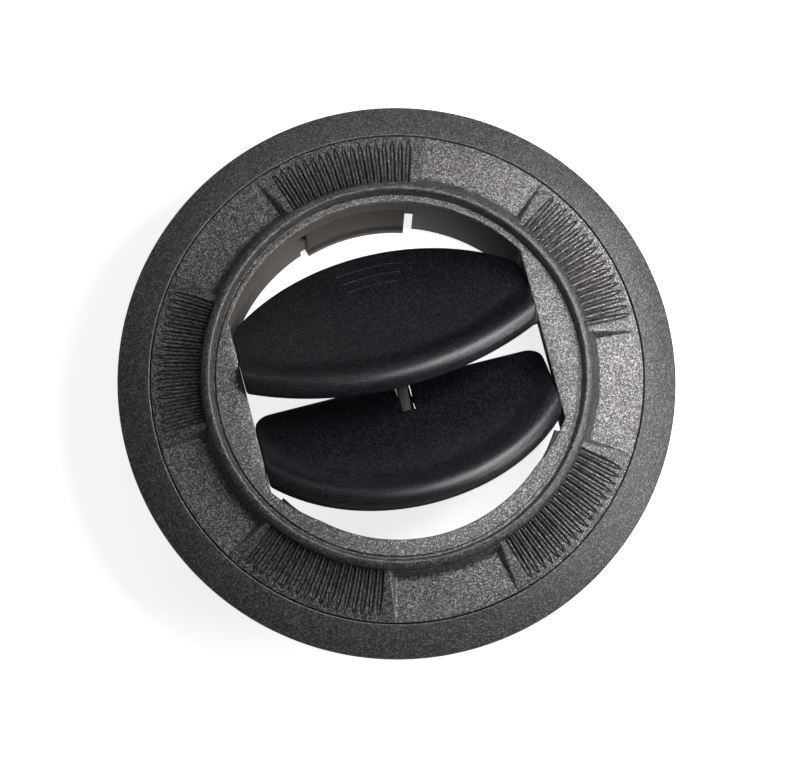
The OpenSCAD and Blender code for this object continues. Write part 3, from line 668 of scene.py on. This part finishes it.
def vane_shell(front, front_r, rear, rear_r, rear_round):
    """Closed vane in its own level place: one section per x, from the nose over the top to the rear edge
    and back underneath. A point at distance q from the front arc's centre lies at
    y = arc_y - sqrt(q^2 - x^2). front and rear are the outline's distances from the pivot line, front_r and
    rear_r the radii of its arcs and rear_round that of its rear corners."""
    half_t = VANE_T / 2
    end_r, n_middle, n_flat, line_dip, corner_blend = 0.3, 61, 14, 0.07, 0.25
    stop_short, apart = 2.5, 0.02
    turns = np.radians([0, 30, 60, 90])
    end_inset = end_r * (1 - np.cos(turns))
    inset = np.concatenate([end_inset[::-1], np.zeros(n_middle), end_inset])
    flat = VANE_HALF - end_r
    middle = flat * np.sin(np.linspace(-np.pi / 2, np.pi / 2, n_middle))
    ends = flat + end_r * np.sin(turns)
    x = np.concatenate([-ends[::-1], middle, ends])
    arc_y = front_r - front
    nose_in = front_r - NOSE_R
    back_t = np.linspace(0, 1, 9)[1:]
    swell = (1 - np.cos(np.pi * back_t)) / 2
    top_nose = np.radians([7.5, 15, 25, 35, 45, 55, 65, 75, 83, 90])
    # The lower half has a fine line pressed in along the nose
    low_nose = np.radians([7.5, 15, 22, 28])
    line = math.radians(30)
    low_more = np.radians([32, 40, 50, 60, 70, 80, 90])

    def section(sign, angles, dips):
        """Distances q and heights z of the upper or lower half, from the nose to where the vane is level."""
        q = nose_in + (NOSE_R - dips) * np.cos(angles)
        z = NOSE_LIFT + sign * (NOSE_R - dips) * np.sin(angles)
        edge = NOSE_LIFT + sign * NOSE_R
        q = np.concatenate([q, nose_in - BLEND_L * back_t])
        z = np.concatenate([z, edge + (sign * half_t - edge) * swell])
        return q, z

    low_angles = np.concatenate([low_nose, [line], low_more])
    low_dips = np.concatenate([np.zeros(len(low_nose)), [line_dip], np.zeros(len(low_more))])
    top_q, top_z = section(1, top_nose, np.zeros(len(top_nose)))
    low_q, low_z = section(-1, low_angles, low_dips)
    rear_turn = np.radians(np.linspace(0, 90, 6))
    rear_limit = corner_limit(x, rear - rear_r, rear_r, rear_round, 1)
    front_limit = corner_limit(x, arc_y, front_r, CORNER_R, -1)
    loops = []
    for k, xk in enumerate(x):
        def front_y(q):
            """y of the points at distance q from the front arc's centre."""
            return arc_y - np.sqrt(np.maximum(q * q - xk * xk, 1e-9))
        halves = []
        for q, z, s in ((top_q, top_z, 1), (low_q, low_z, -1)):
            # Near the vane's ends the points would run past the rear edge, so they stop short of it
            y = np.minimum(front_y(q), rear_limit[k] - stop_short + apart * np.arange(len(q)))
            rear_y = rear_limit[k] - half_t * (1 - np.sin(rear_turn))
            rear_z = s * half_t * np.cos(rear_turn)
            flat_y = np.linspace(y[-1], rear_y[0], n_flat + 2)[1:-1]
            yy = np.concatenate([y, flat_y, rear_y[:-1]])
            zz = np.concatenate([z, np.full(n_flat, s * half_t), rear_z[:-1]])
            halves.append((smooth_max(yy, front_limit[k], corner_blend), zz))
        (ty, tz), (ly, lz) = halves
        tip_y = smooth_max(front_y(front_r), front_limit[k], corner_blend)
        loop_y = np.concatenate([[tip_y], ty, [rear_limit[k]], ly[::-1]])
        loop_z = np.concatenate([[NOSE_LIFT], tz, [0.0], lz[::-1]])
        if inset[k] > 0:
            loop = np.stack([loop_y, loop_z])
            d = np.roll(loop, -1, axis=1) - np.roll(loop, 1, axis=1)
            d /= np.maximum(np.hypot(*d), 1e-9)
            loop_y, loop_z = loop_y + d[1] * inset[k], loop_z - d[0] * inset[k]
        loops.append(np.stack([np.full(len(loop_y), xk), loop_y, loop_z], -1))
    n = len(loops[0])
    faces = grid_faces(len(x), n, closed_u=False)
    last = (len(x) - 1) * n
    faces += [list(range(n)), list(range(last, last + n))[::-1]]
    return mesh_object("shell", np.concatenate(loops), faces)


def cylinder_x(name, x0, x1, y, z, r, steps=40):
    """Closed cylinder of radius r along X."""
    return prism_x(name, arc(y, z, r, 0, 360, steps)[:-1], x0, x1)


def vane_fittings():
    """Pins with their hubs on both ends, and the ears that hold the link's pin."""
    parts = []
    reach = BEARING_X + CHEEK_WALL_T
    hub_r, hub_l, ear_t, ear_r = 1.9, 5, 1.2, 1.6
    hub_z = VANE_T / 2 - hub_r - 0.02
    for s in (-1, 1):
        parts.append(cylinder_x("pin", *sorted((s * (VANE_HALF - 1), s * reach)), 0, 0, PIN_R))
        hub_x = sorted((s * (VANE_HALF - hub_l), s * (VANE_HALF - 0.02)))
        parts.append(cylinder_x("hub", *hub_x, 0, hub_z, hub_r))
    for s in (-1, 1):
        mid = LINK_X + s * (NOTCH_W + ear_t) / 2
        outline = arc(LINK_BACK, -LINK_UNDER, ear_r, 180, 360, 20)
        outline += [(LINK_BACK + ear_r, 0), (LINK_BACK - ear_r, 0)]
        parts.append(bevel(prism_x("ear", outline, mid - ear_t / 2, mid + ear_t / 2), 0.1))
    half = (NOTCH_W + ear_t) / 2
    pin_x = (LINK_X - half, LINK_X + half)
    parts.append(cylinder_x("link_pin", *pin_x, LINK_BACK, -LINK_UNDER, LINK_PIN_R, 24))
    return parts


def grip_line(k):
    """Fine raised line k, counted from the upper vane's rear edge: a thin tube bent about the rear arc's
    centre, half sunk in the surface and tapered at its ends."""
    first_in, step, shorter, sink, steps, sides = 3.9, 2.3, 1.35, 0.03, 25, 8
    r = UPPER_REAR_R - first_in - step * k
    half = (GRIP_LINE_L - shorter * k) / r / 2
    a = np.pi / 2 + np.linspace(-half, half, steps)
    b = np.linspace(0, 2 * np.pi, sides + 1)[:-1]
    taper = np.sqrt(np.clip(1 - np.abs(np.linspace(-1, 1, steps)) ** 30, 0.05, 1))[:, None]
    rr = r + GRIP_LINE_T * taper * np.cos(b)
    zz = VANE_T / 2 + GRIP_LINE_T * taper * np.sin(b) - sink
    arc_y = UPPER_REAR - UPPER_REAR_R
    verts = np.stack([rr * np.cos(a)[:, None], arc_y + rr * np.sin(a)[:, None], zz], -1).reshape(-1, 3)
    last = (steps - 1) * sides
    faces = grid_faces(steps, sides, closed_u=False)
    faces += [list(range(sides)), list(range(last, last + sides))[::-1]]
    return mesh_object("grip_line", verts, faces)


def place_vane(o, pivot_y, node):
    """Turns a level vane to its tilt at rest and puts it on its pivot line."""
    turn = Matrix.Rotation(math.radians(-TILT), 4, "X")
    o.data.transform(Matrix.Translation(Vector((0, pivot_y, PIVOT_Z)) * MM) @ turn)
    finish_piece(o, VANE, node, node, sharp=40)


def upper_vane():
    """Lens-shaped vane with a pocket for the link underneath and the raised lines on top."""
    shell = vane_shell(UPPER_FRONT, UPPER_FRONT_R, UPPER_REAR, UPPER_REAR_R, UPPER_REAR_CORNER_R)
    low_y, low_z, high_z = LINK_BACK - NOTCH_W - 1.8, -3, -0.35
    high_y = low_y + 5.6
    pocket = [(low_y, low_z), (high_y, low_z), (high_y, high_z), (low_y, high_z)]
    cut(shell, [prism_x("pocket", pocket, LINK_X - NOTCH_W / 2, LINK_X + NOTCH_W / 2)])
    parts = vane_fittings() + [grip_line(k) for k in range(GRIP_LINES)]
    place_vane(join("upper_vane_moulding", [shell] + parts), PIVOT_Y, "upper_vane")


def lower_vane():
    """Vane with a straight rear edge, in which the link's notch is open."""
    shell = vane_shell(LOWER_FRONT, LOWER_FRONT_R, LOWER_REAR, NEARLY_STRAIGHT_R, CORNER_R)
    low_y, high_y, beyond = LOWER_REAR - NOTCH_L, LOWER_REAR + 1, 4
    notch = [(low_y, -beyond), (high_y, -beyond), (high_y, beyond), (low_y, beyond)]
    cut(shell, [prism_x("notch", notch, LINK_X - NOTCH_W / 2, LINK_X + NOTCH_W / 2)])
    place_vane(join("lower_vane_moulding", [shell] + vane_fittings()), -PIVOT_Y, "lower_vane")


def link_bar():
    """Bar with rounded ends and edges that joins the pins of both vanes, and its tail below the lower one."""
    turn = math.radians(TILT)
    pin_y = LINK_BACK * math.cos(turn) - LINK_UNDER * math.sin(turn)
    pin_z = PIVOT_Z - LINK_BACK * math.sin(turn) - LINK_UNDER * math.cos(turn)
    low, high, r = pin_y - PIVOT_Y - LINK_TAIL, pin_y + PIVOT_Y, LINK_H / 2
    outline = arc(low, pin_z, r, 90, 270, 16) + arc(high, pin_z, r, -90, 90, 16)
    bar = prism_x("link_moulding", outline, LINK_X - LINK_W / 2, LINK_X + LINK_W / 2)
    bevel(bar, 0.35, angle=50, segments=3)
    finish_piece(bar, LINK, "link_bar", "link_bar")


grip_ring()
housing()
barrel()
upper_vane()
lower_vane()
link_bar()

# Stage, light and camera; the ring stands turned in the photo, so its upward direction isn't quite +Y
PHOTO_UP_ANGLE = math.radians(75.6)
PHOTO_UP = Vector((math.cos(PHOTO_UP_ANGLE), math.sin(PHOTO_UP_ANGLE), 0))
PHOTO_RIGHT = Vector((PHOTO_UP.y, -PHOTO_UP.x, 0))


def from_photo(x, y, z):
    """A direction given as right, up and towards the viewer, in the row frame."""
    return PHOTO_RIGHT * x + PHOTO_UP * y + Vector((0, 0, z))


def floor():
    """Plain pale floor just under the part. The camera sees it brighter, so that it comes out white."""
    half, z, paint, glow_strength = 1.2, cad_box[0][2] - 0.0004, 0.8, 0.8
    me = bpy.data.meshes.new("floor")
    corners = [(-half, -half, z), (half, -half, z), (half, half, z), (-half, half, z)]
    me.from_pydata(corners, [], [(0, 1, 2, 3)])
    o = bpy.data.objects.new("floor", me)
    scene.collection.objects.link(o)
    mat, t = new_material("floor_white")
    out = t.nodes.new("ShaderNodeOutputMaterial")
    diffuse = t.nodes.new("ShaderNodeBsdfDiffuse")
    diffuse.inputs["Color"].default_value = (paint, paint, paint, 1)
    glow = t.nodes.new("ShaderNodeEmission")
    glow.inputs["Strength"].default_value = glow_strength
    both = t.nodes.new("ShaderNodeAddShader")
    t.links.new(diffuse.outputs[0], both.inputs[0])
    t.links.new(glow.outputs[0], both.inputs[1])
    pick = t.nodes.new("ShaderNodeMixShader")
    t.links.new(t.nodes.new("ShaderNodeLightPath").outputs["Is Camera Ray"], pick.inputs[0])
    t.links.new(diffuse.outputs[0], pick.inputs[1])
    t.links.new(both.outputs[0], pick.inputs[2])
    t.links.new(pick.outputs[0], out.inputs["Surface"])
    me.materials.append(mat)


def area_light(name, azimuth, polar, distance, size, power):
    """Square light that shines at the origin, placed by its angles in the photo: azimuth from the right
    towards the top, and polar from the vent's axis."""
    a, b = math.radians(azimuth), math.radians(polar)
    d = from_photo(math.cos(a) * math.sin(b), math.sin(a) * math.sin(b), math.cos(b)).normalized()
    data = bpy.data.lights.new(name, "AREA")
    data.size = size
    data.energy = power
    o = bpy.data.objects.new(name, data)
    o.location = d * distance
    o.rotation_euler = d.to_track_quat("Z", "Y").to_euler()
    scene.collection.objects.link(o)


def surroundings(level):
    """Even white light from all sides at the given level, seen by the camera as plain white."""
    world = bpy.data.worlds.new("world")
    scene.world = world
    world.use_nodes = True
    t = world.node_tree
    t.nodes.clear()
    sky = t.nodes.new("ShaderNodeBackground")
    sky.inputs["Color"].default_value = (1, 1, 1, 1)
    sky.inputs["Strength"].default_value = level
    seen = t.nodes.new("ShaderNodeBackground")
    seen.inputs["Color"].default_value = (1, 1, 1, 1)
    mix = t.nodes.new("ShaderNodeMixShader")
    t.links.new(t.nodes.new("ShaderNodeLightPath").outputs["Is Camera Ray"], mix.inputs[0])
    t.links.new(sky.outputs[0], mix.inputs[1])
    t.links.new(seen.outputs[0], mix.inputs[2])
    t.links.new(mix.outputs[0], t.nodes.new("ShaderNodeOutputWorld").inputs["Surface"])


def camera():
    """Camera at the photo's angle, with the photo's scale at the origin and its offset of the origin."""
    photo_w, pixels_per_mm, right_px, down_px = 800.0, 5.8047, 3.09, 0.64
    distance, towards_camera = 0.55, (-0.01911, -0.1599, 0.98695)
    data = bpy.data.cameras.new("camera")
    o = bpy.data.objects.new("camera", data)
    scene.collection.objects.link(o)
    back = from_photo(*towards_camera).normalized()
    side = PHOTO_UP.cross(back).normalized()
    axes = Matrix((side, back.cross(side), back)).transposed().to_4x4()
    o.matrix_world = Matrix.Translation(back * distance) @ axes
    data.lens = pixels_per_mm * distance / MM * data.sensor_width / photo_w
    data.shift_x = right_px / photo_w
    data.shift_y = -down_px / photo_w
    scene.camera = o


# Lights by name, azimuth, polar angle, distance, size and power
WORLD = 0.13
LIGHTS = [
    ("left_back", 108, 55, 0.9, 0.45, 0.52),
    ("right_low", -16, 60, 0.35, 0.12, 0.60),
    ("right_key", 22, 24, 0.125, 0.06, 0.155),
    ("right_top", 35, 48, 0.2, 0.06, 0.20),
]
floor()
for light in LIGHTS:
    area_light(*light)
surroundings(WORLD)
camera()
scene.view_settings.view_transform = "Standard"
